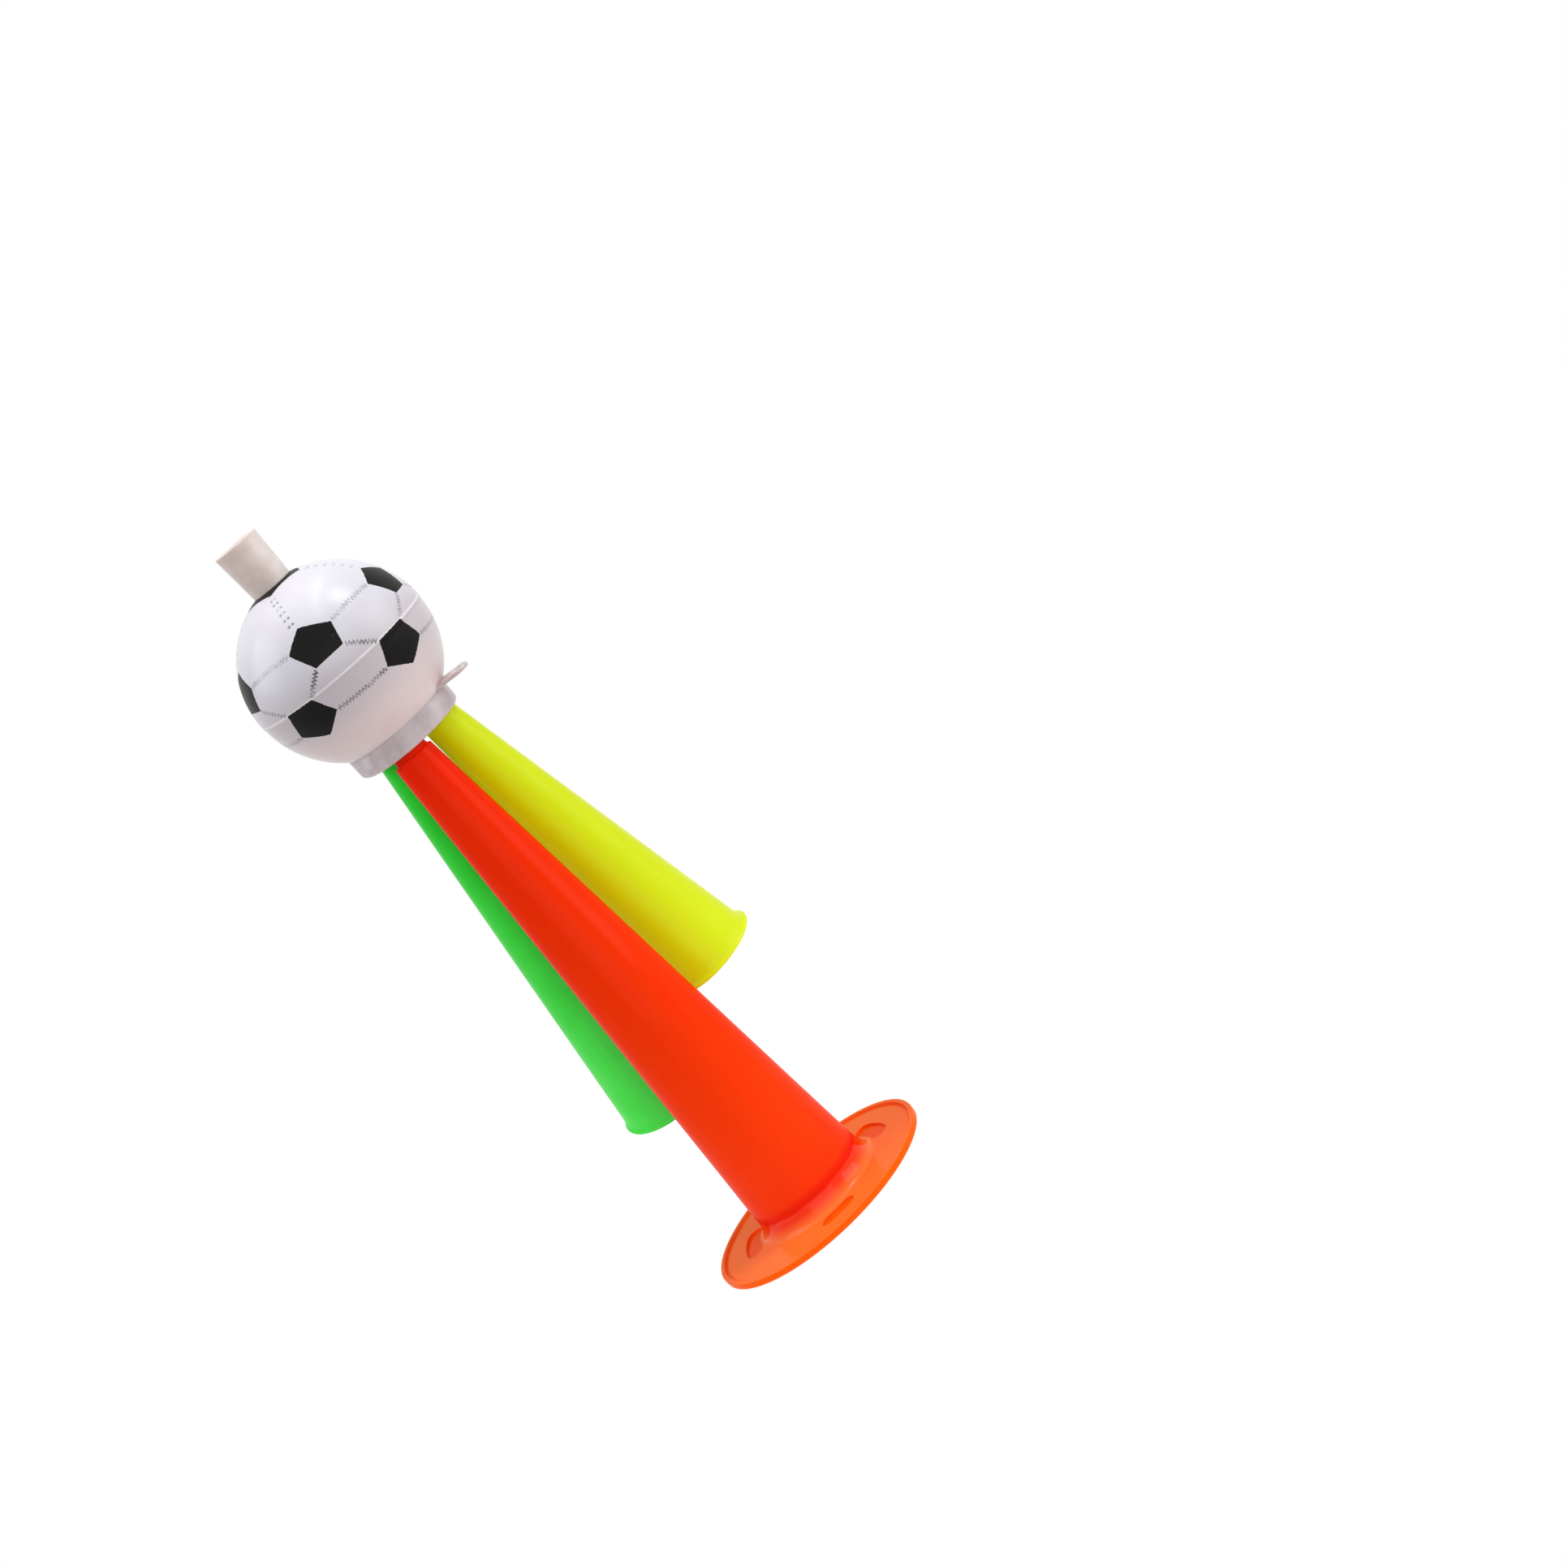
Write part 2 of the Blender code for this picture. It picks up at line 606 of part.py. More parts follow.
ball_white = plastic("ball_white", 235, 231, 238, 0.28)
milky_warm = plastic("milky_warm", 206, 199, 194, 0.38)
milky_lilac = plastic("milky_lilac", 188, 183, 191, 0.36)
signal_red = plastic("signal_red", 240, 52, 12, 0.30)
lemon = plastic("lemon", 216, 226, 24, 0.34)
leaf_green = plastic("leaf_green", 52, 205, 54, 0.32)
reed_white = plastic("reed_white", 225, 222, 214, 0.40)
tongue_amber = plastic("tongue_amber", 206, 190, 150, 0.25)

finish(main_trumpet(), signal_red)
finish(upper_shell(), ball_white)
finish(lower_shell(), ball_white)
finish(mouthpiece(), milky_warm)
finish(collar(), milky_lilac)
yellow = short_trumpet(
    "yellow_trumpet", seats["yellow"], YELLOW_LENGTH, YELLOW_SHOULDER, YELLOW_BELL_RADIUS, YELLOW_LIP
)
finish(yellow, lemon)
green = short_trumpet(
    "green_trumpet", seats["green"], GREEN_LENGTH, GREEN_SHOULDER, GREEN_BELL_RADIUS, GREEN_LIP
)
finish(green, leaf_green)
for key, seat in seats.items():
    shallot, tongue, ring = reed(key, seat)
    finish(shallot, reed_white)
    finish(tongue, tongue_amber)
    finish(ring, reed_white)

bpy.context.view_layer.update()
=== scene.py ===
import math

import bmesh
import bpy
from mathutils import Euler, Matrix, Vector


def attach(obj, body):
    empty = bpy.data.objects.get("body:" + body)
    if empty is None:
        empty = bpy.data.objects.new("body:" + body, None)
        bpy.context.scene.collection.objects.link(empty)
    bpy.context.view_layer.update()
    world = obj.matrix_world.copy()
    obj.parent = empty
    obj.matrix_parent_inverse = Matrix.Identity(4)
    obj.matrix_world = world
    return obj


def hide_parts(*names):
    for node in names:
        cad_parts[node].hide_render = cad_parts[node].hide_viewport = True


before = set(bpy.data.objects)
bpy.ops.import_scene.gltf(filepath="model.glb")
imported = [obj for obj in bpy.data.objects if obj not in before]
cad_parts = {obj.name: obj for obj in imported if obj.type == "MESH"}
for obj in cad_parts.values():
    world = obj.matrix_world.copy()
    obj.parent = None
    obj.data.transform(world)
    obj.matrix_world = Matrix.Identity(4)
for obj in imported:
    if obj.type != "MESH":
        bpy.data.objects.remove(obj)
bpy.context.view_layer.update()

# Stadium horn: a football-shaped wind chamber with a mouthpiece, a collar with three sockets,
# and three push-fit trumpets. Outlines are in millimetres, measured from the place of each piece.
mm = 0.001
scene = bpy.context.scene


# where the head and the three sockets stand
lean = {"out": 5.76, "side": 2.35, "yellow": 7.0, "green": 6.4}  # degrees
around = {"main": -90, "yellow": 30, "green": 150}  # degrees round the ball's axis
socketCircle = 13.279  # radius of the circle that the three sockets stand on
seatDrop = 39.704  # from the ball's middle down to the sockets' plane

foot = Vector((3.8, -9.6, 0))  # middle of the main trumpet's flange
mainSeat = foot + Vector((0, 0, 245.6))
stand = Matrix.Translation(foot * mm)
tipBack = math.atan(math.tan(math.radians(lean["out"])) * math.cos(math.radians(lean["side"])))
headTurn = Euler((tipBack, math.radians(lean["side"]), 0), "YXZ").to_matrix()
ballMiddle = mainSeat - headTurn @ Vector((0, -socketCircle, -seatDrop))
head = Matrix.Translation(ballMiddle * mm) @ headTurn.to_4x4()


def seatPlace(key):
    a = math.radians(around[key])
    spot = Vector((socketCircle * math.cos(a), socketCircle * math.sin(a), -seatDrop)) * mm
    return head @ Matrix.Translation(spot) @ Euler((0, -math.radians(lean[key]), a)).to_matrix().to_4x4()


seats = {
    "main": Matrix.Translation(mainSeat * mm) @ Matrix.Rotation(math.radians(around["main"]), 4, "Z"),
    "yellow": seatPlace("yellow"),
    "green": seatPlace("green"),
}


# round pieces are drawn as a line and turned
class Outline:  # a line in the XZ plane, drawn corner by corner, x is the radius and z the height
    def __init__(self):
        self.shape = bmesh.new()
        self.first = self.last = None
        self.rounded = []

    def join(self, vert):
        if self.last:
            self.shape.edges.new((self.last, vert))
        self.first = self.first or vert
        self.last = vert

    def to(self, radius, height, reach=0.0):  # reach is how far the rounding runs along both sides
        vert = self.shape.verts.new((radius, 0, height))
        self.join(vert)
        if reach:
            self.rounded.append((vert, reach))
        return self

    def sweep(self, middle, size, start, end, steps):  # part of an ellipse, angles up from +X
        before = set(self.shape.verts)
        begin = math.radians(start)
        vert = self.shape.verts.new((math.cos(begin), 0, math.sin(begin)))
        swung = bmesh.ops.spin(
            self.shape, geom=[vert], axis=(0, -1, 0), angle=math.radians(end - start), steps=steps
        )
        run = [v for v in self.shape.verts if v not in before]
        bmesh.ops.scale(self.shape, vec=(size[0], 1, size[1]), verts=run)
        bmesh.ops.translate(self.shape, vec=(middle[0], 0, middle[1]), verts=run)
        self.join(vert)
        self.last = swung["geom_last"][0]
        return self

    def done(self, closed=True, segments=4):
        if closed:
            self.shape.edges.new((self.last, self.first))
        for vert, reach in self.rounded:
            bmesh.ops.bevel(
                self.shape, geom=[vert], offset=reach, offset_type="OFFSET", segments=segments,
                profile=0.5, affect="VERTICES", material=-1,
            )
        return self.shape


def turnRound(shape, steps):
    bmesh.ops.spin(
        shape, geom=shape.verts[:] + shape.edges[:], axis=(0, 0, 1), angle=2 * math.pi,
        steps=steps, use_merge=True,
    )
    bmesh.ops.remove_doubles(shape, verts=shape.verts, dist=0.0005)
    bmesh.ops.dissolve_degenerate(shape, dist=0.0002, edges=shape.edges)


def shadeEvenly(piece, sharp=40):  # edges of more degrees than this stay sharp
    piece.data.shade_smooth()
    piece.data.set_sharp_from_angle(angle=math.radians(sharp))
    soften = piece.modifiers.new("evenShading", "WEIGHTED_NORMAL")
    soften.keep_sharp = True


def makePiece(name, shape, place, finish, sharp=40):
    bmesh.ops.recalc_face_normals(shape, faces=shape.faces)
    bmesh.ops.transform(shape, matrix=place @ Matrix.Scale(mm, 4), verts=shape.verts)
    mesh = bpy.data.meshes.new(name)
    shape.to_mesh(mesh)
    shape.free()
    mesh.materials.append(finish)
    piece = bpy.data.objects.new(name, mesh)
    scene.collection.objects.link(piece)
    shadeEvenly(piece, sharp)
    return piece


def settle(piece, body, slot, *nodes):
    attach(piece, body)
    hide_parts(*nodes)
    print(piece.name, len(piece.data.polygons), "faces")


# materials
class Wire:  # one output socket, so that sums on it can be written as Python
    def __init__(self, finish, socket):
        self.finish = finish
        self.socket = socket

    def sum(self, operation, *values):
        return self.finish.node("ShaderNodeMath", {"operation": operation}, dict(enumerate(values)))

    def __add__(self, other):
        return self.sum("ADD", self, other)

    def __sub__(self, other):
        return self.sum("SUBTRACT", self, other)

    def __rsub__(self, other):
        return self.sum("SUBTRACT", other, self)

    def __mul__(self, other):
        return self.sum("MULTIPLY", self, other)

    def __truediv__(self, other):
        return self.sum("DIVIDE", self, other)

    def __gt__(self, other):
        return self.sum("GREATER_THAN", self, other)

    def __lt__(self, other):
        return self.sum("LESS_THAN", self, other)

    def __abs__(self):
        return self.sum("ABSOLUTE", self)

    __radd__ = __add__
    __rmul__ = __mul__

    def least(self, other):
        return self.sum("MINIMUM", self, other)

    def most(self, other):
        return self.sum("MAXIMUM", self, other)

    def part(self):
        return self.sum("FRACT", self)

    def ramp(self, low, high, start=0.0, end=1.0):  # smooth step between two values
        return self.finish.node(
            "ShaderNodeMapRange", {"interpolation_type": "SMOOTHSTEP"},
            {"Value": self, "From Min": low, "From Max": high, "To Min": start, "To Max": end},
        )


class Finish:  # a material and its nodes
    def __init__(self, name, tree=None):
        if tree is None:
            self.material = bpy.data.materials.new(name)
            self.material.use_nodes = True
            tree = self.material.node_tree
            self.shader = tree.nodes["Principled BSDF"]
        self.tree = tree

    def node(self, kind, settings=None, sockets=None, out=0):
        made = self.tree.nodes.new(kind)
        for key, value in (settings or {}).items():
            setattr(made, key, value)
        for key, value in (sockets or {}).items():
            self.join(value, made.inputs[key])
        return Wire(self, made.outputs[out])

    def join(self, value, socket):
        if isinstance(value, Wire):
            self.tree.links.new(value.socket, socket)
        else:
            socket.default_value = value

    def set(self, **values):  # sockets of the main shader, written without spaces
        for socket in self.shader.inputs:
            key = socket.name[:1].lower() + socket.name[1:].replace(" ", "").replace("-", "")
            if key in values:
                self.join(values.pop(key), socket)
        for key in values:
            raise KeyError(key)

    def mix(self, amount, low, high):  # two colours
        return self.node("ShaderNodeMix", {"data_type": "RGBA"}, {0: amount, 6: low, 7: high}, 2)

    def vector(self, operation, *values, out=0):
        return self.node("ShaderNodeVectorMath", {"operation": operation}, dict(enumerate(values)), out)

    def dot(self, direction, other):
        return self.vector("DOT_PRODUCT", direction, other, out=1)

    def length(self, vector):
        return self.vector("LENGTH", vector, out=1)

    def here(self, place):  # Object coordinates, measured from a place
        seen = self.node("ShaderNodeTexCoord", out="Object")
        return self.node(
            "ShaderNodeMapping", {"vector_type": "TEXTURE"},
            {"Vector": seen, "Location": place.translation, "Rotation": place.to_euler("XYZ")},
        )

    def height(self, where):  # in millimetres
        return self.node("ShaderNodeSeparateXYZ", sockets={0: where}, out=2) * 1000

    def noise(self, where, scale, detail=2.0, roughness=0.5, out=0, stretch=None):
        if stretch:
            where = self.vector("MULTIPLY", where, stretch)
        sockets = {"Vector": where, "Scale": scale, "Detail": detail, "Roughness": roughness}
        return self.node("ShaderNodeTexNoise", sockets=sockets, out=out)

    def bump(self, height, distance):
        return self.node("ShaderNodeBump", sockets={"Height": height, "Distance": distance, "Strength": 1.0})


def screen(red, green, blue):  # a colour as it looks on the screen, 0 to 255
    def linear(value):
        value = value / 255
        return value / 12.92 if value <= 0.04045 else ((value + 0.055) / 1.055) ** 2.4
    return (linear(red), linear(green), linear(blue), 1)


def plainGrain(finish, where, settings):
    # fine skin of moulded plastic, with a few long flow lines and small scuffs
    skin = finish.noise(where, settings["skinScale"], 3)
    flow = finish.noise(where, settings["flowScale"], 2, stretch=(1, 1, 0.03))
    scuff = finish.noise(where, settings["scuffScale"], 6, 0.7, stretch=(1, 1, 0.35))
    scuff = scuff.ramp(0.66, 0.74)
    height = skin * settings["skin"] + flow * settings["flow"] - scuff * settings["scuff"]
    return finish.bump(height, 0.1 * mm), flow, scuff


# the longest trumpet, with the flange that the horn stands on
spigot = {"rise": 13.0, "tip": 7.15, "foot": 7.5, "bore": 5.6, "boreFoot": 5.9}  # the same on all three
mainTrumpet = {
    "steps": 160,
    "spigotTop": 258.6, "shoulder": 241.35, "throat": 8.98, "boreFoot": 237.6, "bellIn": (9.26, 215.6),
    # middle and size of the ellipses that the flare follows outside and inside
    "flare": (30.163, 12.7), "flareOut": (4.28, 11.0), "hollow": (30.163, 9.5), "flareIn": (6.5, 9.5),
    "flareAngles": ((190.8, 270), (270, 184)),
    "plate": 1.7, "plateOuter": 47.163, "edge": 51.46, "rimTop": 2.8, "groove": 1.35,
    # groove and bead: inwards from the edge, height, rounding
    "rimLine": (
        (3.3, "plate", 0.25), (2.95, "groove", 0.12), (2.35, "groove", 0.2), (2.1, "rimTop", 0.42),
        (0, "rimTop", 0.6),
    ),
    "pocketAt": -70, "pocketSide": 104, "pocketLong": 20.5, "pocketShort": 14,
    "pocketInner": 30.563, "pocketOuter": 38.563,
    # steps inwards and down: the rounded edge, the wall, the hollow at its foot
    "pocketSteps": (
        (0.05, -0.02), (0.09, -0.08), (0.06, -0.14), (0.04, -0.62),
        (0.05, -0.12), (0.10, -0.09), (0.14, -0.03),
    ),
}
redPlastic = {
    "colour": screen(255, 45, 0), "deep": screen(255, 31, 0), "warm": screen(243, 57, 2),
    "flare": screen(242, 52, 0), "plate": screen(255, 117, 45), "pocket": screen(250, 88, 6),
    "rimSide": screen(240, 90, 8), "band": screen(232, 24, 0), "scuffed": screen(252, 96, 50),
    "satin": 0.38, "gloss": 0.16, "flareTop": 9.0, "shine": 0.01,
    # coat on the tube, and what the flare has more and the plate less than the flare
    "coat": 0.07, "flareCoat": 0.23, "plateCoat": 0.28, "coatEnd": (28.5, 30.5),
    # heights in mm between which a colour comes in
    "warmUp": (20, 230), "deepUp": (205, 246), "bandWide": (4.5, 1), "plateDown": (7.5, 2.0), "sunk": 1.4,
    "skinScale": 1400, "skin": 0.10, "flowScale": 330, "flow": 0.08, "scuffScale": 260, "scuff": 0.08,
}


def redFinish():
    s = redPlastic
    f = Finish("redPlastic")
    where = f.here(stand)
    height = f.height(where)
    bumps, flow, scuff = plainGrain(f, where, s)
    cloud = f.noise(where, 28, 3)
    wobble = f.noise(where, 160, 2)
    colour = f.mix(height.ramp(*s["warmUp"]), s["warm"], s["colour"])
    colour = f.mix(height.ramp(*s["deepUp"]) * 0.8 + (cloud - 0.5) * 0.5, colour, s["deep"])
    colour = f.mix(flow.ramp(0.52, 0.75) * 0.25, colour, s["deep"])
    onFlare = (height + (wobble - 0.5) * 1.2).ramp(s["flareTop"] + 0.5, s["flareTop"] - 0.5)
    # painted reflection: a dark band on the tube just above the glossy flare stands for dark surroundings
    # mirrored in the gloss
    colour = f.mix(abs(height - s["flareTop"] - 0.5).ramp(*s["bandWide"]) * 0.85, colour, s["band"])
    colour = f.mix(onFlare, colour, s["flare"])
    # painted reflection: the flat plate is painted a paler orange than the tube, a painted sheen of the
    # bright surroundings seen at a low angle
    colour = f.mix(height.ramp(*s["plateDown"]), colour, s["plate"])
    out = f.length(f.vector("MULTIPLY", where, (1000, 1000, 0)))
    # painted shade: the floors of the pockets are painted a darker orange, as shade in the recesses
    inner, outer = mainTrumpet["pocketInner"] - 0.3, mainTrumpet["pocketOuter"] + 0.3
    colour = f.mix((height < s["sunk"]) * (out > inner) * (out < outer), colour, s["pocket"])
    # the painted sheen stops at the rim: its outer side is painted a deeper orange than the pale top
    colour = f.mix(out > mainTrumpet["edge"] - 0.15, colour, s["rimSide"])
    colour = f.mix(scuff * 0.3, colour, s["scuffed"])
    rough = s["satin"] + (cloud - 0.5) * 0.10 + scuff * 0.15
    rough = rough - onFlare * (s["satin"] - s["gloss"])
    coat = s["coat"] + onFlare * s["flareCoat"] - out.ramp(*s["coatEnd"]) * s["plateCoat"]
    f.set(baseColor=colour, roughness=rough, normal=bumps, iOR=1.5)
    f.set(specularIORLevel=s["shine"], coatWeight=coat, coatRoughness=0.06)
    f.set(subsurfaceWeight=0.1, subsurfaceRadius=(1.0, 0.15, 0.02), subsurfaceScale=0.002)
    return f.material


def kidney(shape, middle, half, inner, outer, height):  # curved slot with round ends, a closed line
    before = set(shape.verts)
    along, cap = (inner + outer) / 2, (outer - inner) / 2
    reach = math.radians(half) - math.asin(cap / along)
    first, last = (Matrix.Rotation(math.radians(middle) + side * reach, 3, "Z") for side in (-1, 1))
    starting, ending = (turn @ Vector((along, 0, height)) for turn in (first, last))
    vert = shape.verts.new(first @ Vector((inner, 0, height)))
    moves = (
        ((0, 0, 0), 2 * reach, 16), (ending, -math.pi, 12),
        ((0, 0, 0), -2 * reach, 20), (starting, -math.pi, 12),
    )
    for centre, angle, steps in moves:
        swung = bmesh.ops.spin(shape, geom=[vert], cent=centre, axis=(0, 0, 1), angle=angle, steps=steps)
        vert = swung["geom_last"][0]
    bmesh.ops.remove_doubles(shape, verts=[v for v in shape.verts if v not in before], dist=0.01)
    loop = [v for v in shape.verts if v not in before]
    return list({edge for v in loop for edge in v.link_edges})


def buildMainTrumpet():
    s = mainTrumpet
    line = Outline()
    line.to(s["plateOuter"], s["plate"])
    for inwards, level, rounding in s["rimLine"]:
        line.to(s["edge"] - inwards, s[level], rounding)
    line.to(s["edge"], 0, 0.45).to(s["hollow"][0] + 0.4, 0)
    # inside of the bell and the spigot's bore
    line.sweep(s["hollow"], s["flareIn"], *s["flareAngles"][1], 20)
    line.to(*s["bellIn"], 3).to(spigot["boreFoot"], s["boreFoot"], 1).to(spigot["bore"], s["spigotTop"], 0.3)
    # spigot, shoulder, outside of the bell down to the flare
    line.to(spigot["tip"], s["spigotTop"], 0.5).to(spigot["foot"], s["shoulder"] + 0.6, 0.25)
    line.to(s["throat"] - 0.1, s["shoulder"], 0.35)
    line.sweep(s["flare"], s["flareOut"], *s["flareAngles"][0], 30)
    shape = line.done(closed=False)
    turnRound(shape, s["steps"])

    # flat ring between flare and groove, with the four pockets in it
    rings = [edge for edge in shape.edges if edge.is_boundary]
    slots = []
    for turn, half in ((0, "Short"), (s["pocketSide"], "Long"), (180, "Short"), (-s["pocketSide"], "Long")):
        middle, size = s["pocketAt"] + turn, s["pocket" + half]
        slots.append(kidney(shape, middle, size, s["pocketInner"], s["pocketOuter"], s["plate"]))
    bmesh.ops.triangle_fill(shape, edges=rings + sum(slots, []), normal=(0, 0, 1), use_beauty=True)
    for edges in slots:
        bottom = bmesh.ops.contextual_create(shape, geom=edges)["faces"]
        bottom[0].normal_update()
        if bottom[0].normal.z < 0:
            bottom[0].normal_flip()
        for inwards, down in s["pocketSteps"]:
            bmesh.ops.inset_individual(
                shape, faces=bottom, thickness=inwards, depth=down, use_even_offset=True
            )
    return makePiece("mainTrumpet", shape, stand, redFinish())


settle(buildMainTrumpet(), "main_trumpet", "red_plastic", "main_trumpet")


# the two short trumpets, heights from the plane of the sockets
shortTrumpets = {
    "yellow": {
        "length": 153.0, "throat": 8.04, "end": 20.08, "lip": 1.9,
        "colour": screen(201, 216, 0), "deep": screen(196, 203, 0), "warm": screen(198, 214, 14),
        "scuffed": screen(240, 246, 90), "satin": 0.36,
        "glow": (0.9, 1.0, 0.05), "soft": 0.5, "bright": 0.2,
    },
    "green": {
        "length": 194.7, "throat": 8.0, "end": 20.17, "lip": 1.0,
        "colour": screen(46, 224, 52), "deep": screen(22, 202, 30), "warm": screen(74, 230, 78),
        "scuffed": screen(130, 236, 130), "satin": 0.38,
        "glow": (0.2, 1.0, 0.2), "soft": 0.15, "bright": 0.02,
    },
    "steps": 128, "wall": 1.4, "lipRound": 0.9, "spigotFoot": -2.2, "shoulder": -2.8, "boreFoot": -8,
    "skinScale": 1500, "skin": 0.10, "flowScale": 360, "flow": 0.08, "scuffScale": 300, "scuff": 0.06,
}


def shortFinish(key):
    s = shortTrumpets[key]
    f = Finish(key + "Plastic")
    where = f.here(seats[key])
    down = f.height(where) * -1
    bumps, flow, scuff = plainGrain(f, where, shortTrumpets)
    cloud = f.noise(where, 34, 3)
    colour = f.mix(down.ramp(s["length"], 0), s["warm"], s["colour"])
    colour = f.mix((cloud - 0.42) * 0.9, colour, s["deep"])
    colour = f.mix(flow.ramp(0.52, 0.75) * 0.2, colour, s["deep"])
    colour = f.mix(scuff * 0.3, colour, s["scuffed"])
    f.set(baseColor=colour, roughness=s["satin"] + (cloud - 0.5) * 0.1 + scuff * 0.15, normal=bumps)
    f.set(subsurfaceWeight=s["soft"], subsurfaceRadius=s["glow"], subsurfaceScale=0.006, iOR=1.5)
    # painted light: the emission is a glow of the plastic itself, which lifts the shaded side of the trumpet
    f.set(emissionColor=colour, emissionStrength=s["bright"], specularIORLevel=0.16)
    return f.material


def buildShortTrumpet(key):
    s = shortTrumpets
    length, throat, end, lip = (s[key][word] for word in ("length", "throat", "end", "lip"))
    wall, bead = s["wall"], s["lipRound"]
    taper = (end - throat) / length
    line = Outline()
    line.to(spigot["tip"], spigot["rise"], 0.5).to(spigot["foot"], s["spigotFoot"], 0.2)
    line.to(throat - taper * s["shoulder"], s["shoulder"], 0.3)
    line.to(end - taper * 4.6, 4.6 - length, 0.8).to(end + lip * 0.22, 2.5 - length, 0.5)
    line.sweep((end + lip - bead, bead - length), (bead, bead), 80, -90, 14)
    line.to(end + 0.3, -length, 0.2).to(end - 1.0, 0.6 - length, 0.4)
    line.to(end - wall - taper * 4, 4 - length, 1).to(throat + taper * 30 - wall, -30, 3)
    line.to(spigot["boreFoot"], s["boreFoot"], 1.5).to(spigot["bore"], spigot["rise"], 0.3)
    shape = line.done()
    turnRound(shape, s["steps"])
    return makePiece(key + "Trumpet", shape, seats[key], shortFinish(key))


settle(buildShortTrumpet("yellow"), "yellow_trumpet", "yellow_plastic", "yellow_trumpet")
settle(buildShortTrumpet("green"), "green_trumpet", "green_plastic", "green_trumpet")


# the ball's two shells, the pattern printed on them and the light and shade painted on them, heights from
# the ball's middle
ball = {
    "steps": 144, "radius": 39.7, "wall": 1.8, "step": 0.3, "seam": 1.2, "closed": 0.01, "bead": 0.1,
    "hole": 7.7, "holeEdge": 8.1, "boss": 9.4, "bossFoot": 30.0,
    "opening": (-56.23, -54.38),  # degrees, outside and inside
    "tongueTop": 4.2, "tongue": 37.27, "tongueIn": 36.07,
}
ballPrintAndPaintedLight = {
    "white": screen(226, 223, 233), "shaded": screen(213, 202, 206), "low": screen(238, 222, 222),
    "seam": screen(248, 246, 250), "blotch": screen(226, 202, 198),
    "ink": screen(17, 15, 14), "stitch": screen(44, 38, 44), "gloss": 0.3, "inkGloss": 0.4,
    # heights in mm between which a tone comes in: painted shade round the middle, painted light from below
    # on the lower shell, and a painted red reflection low down
    "shadedDown": (14, -2), "lowDown": (-4, -22), "blotchDown": (0, -18),
    # corners of the pentagons, longitude and latitude on the ball in degrees
    "pentagons": (
        ((-78.4, 36.0), (-60.0, 26.3), (-64.3, 12.6), (-84.3, 12.0), (-93.3, 26.4)),
        ((-28.9, 1.4), (-23.0, -12.9), (-39.3, -21.8), (-54.6, -12.8), (-48.8, 0.9)),
        ((-98.0, 0.9), (-91.5, -12.1), (-107.2, -21.6), (-123.6, -13.4), (-117.7, 1.3)),
        ((-7.2, 35.9), (-22.5, 26.7), (-14.1, 11.6), (0.7, 11.5), (9.2, 26.6)),
        ((-149.4, 36.0), (-132.6, 24.5), (-135.3, 11.4), (-157.6, 11.4), (-165.0, 26.0)),
        ((66.0, 36.0), (82.6, 26.4), (76.0, 12.2), (56.0, 12.2), (49.4, 26.4)),
        ((138.8, 36.0), (155.4, 26.4), (148.8, 12.2), (128.8, 12.2), (122.2, 26.4)),
        ((43.9, 1.1), (49.7, -12.9), (33.9, -21.8), (18.1, -12.9), (23.9, 1.1)),
        ((116.8, 1.1), (122.6, -12.9), (106.8, -21.8), (91.0, -12.9), (96.8, 1.1)),
        ((-170.4, 1.1), (-164.6, -12.9), (179.6, -21.8), (163.8, -12.9), (169.6, 1.1)),
        ((-84.0, 69.6), (-12.0, 69.6), (60.0, 69.6), (132.0, 69.6), (204.0, 69.6)),
    ),
    # stitch lines from corner to corner, how large their stitches are and how dark
    "lines": (
        ((-84, 69.6), (-80.5, 34.6), 1.6, 0.75), ((-12, 69.6), (-7.2, 36.4), 1.6, 0.6),
        ((60, 69.6), (66, 36.4), 1.6, 0.8), ((132, 69.6), (138.8, 36.4), 1.6, 0.8),
        ((-156, 69.6), (-149.4, 36.4), 1.6, 0.6), ((-60, 26.3), (-22.5, 26.7), 1.15, 0.5),
        ((9.2, 26.6), (49.4, 26.4), 1.15, 0.7), ((82.6, 26.4), (122.2, 26.4), 1.15, 0.7),
        ((155.4, 26.4), (195, 26), 1.15, 0.6), ((-132.6, 24.5), (-93.3, 26.4), 1.1, 0.5),
        ((-64.3, 12.6), (-48.8, 0.9), 1, 1), ((-14.1, 11.6), (-28.9, 1.4), 1, 0.7),
        ((-84.3, 12), (-98, 0.9), 1, 1.1), ((-135.3, 11.4), (-117.7, 1.3), 1, 0.7),
        ((0.7, 11.5), (23.9, 1.1), 1, 0.8), ((56, 12.2), (43.9, 1.1), 1, 0.8),
        ((76, 12.2), (96.8, 1.1), 1, 0.8), ((128.8, 12.2), (116.8, 1.1), 1, 0.8),
        ((148.8, 12.2), (169.6, 1.1), 1, 0.8), ((-157.6, 11.4), (-170.4, 1.1), 1, 0.7),
        ((-23, -12.9), (18.1, -12.9), 1, 0.6), ((49.7, -12.9), (91, -12.9), 1, 0.9),
        ((122.6, -12.9), (163.8, -12.9), 1, 0.9), ((-164.6, -12.9), (-123.6, -13.4), 1, 0.7),
        ((-91.5, -12.1), (-54.6, -12.8), 1, 0.95),
    ),
    # how far apart, how wide and how thick the zigzag is, and the paired dots of the large lines
    "stitchPitch": 1.5, "stitchWidth": 1.2, "stitchReach": 0.56, "stitchThick": 1.15,
    "dotPitch": 2.1, "dot": 0.5, "dottedFrom": 1.5, "cornerRoom": 0.7,
    "skinScale": 1100, "skin": 0.06, "flowScale": 300, "flow": 0.03, "scuffScale": 240, "scuff": 0.05,
}


def onBall(spot):  # direction of a longitude and latitude
    lon, lat = math.radians(spot[0]), math.radians(spot[1])
    return Vector((math.cos(lat) * math.cos(lon), math.cos(lat) * math.sin(lon), math.sin(lat)))


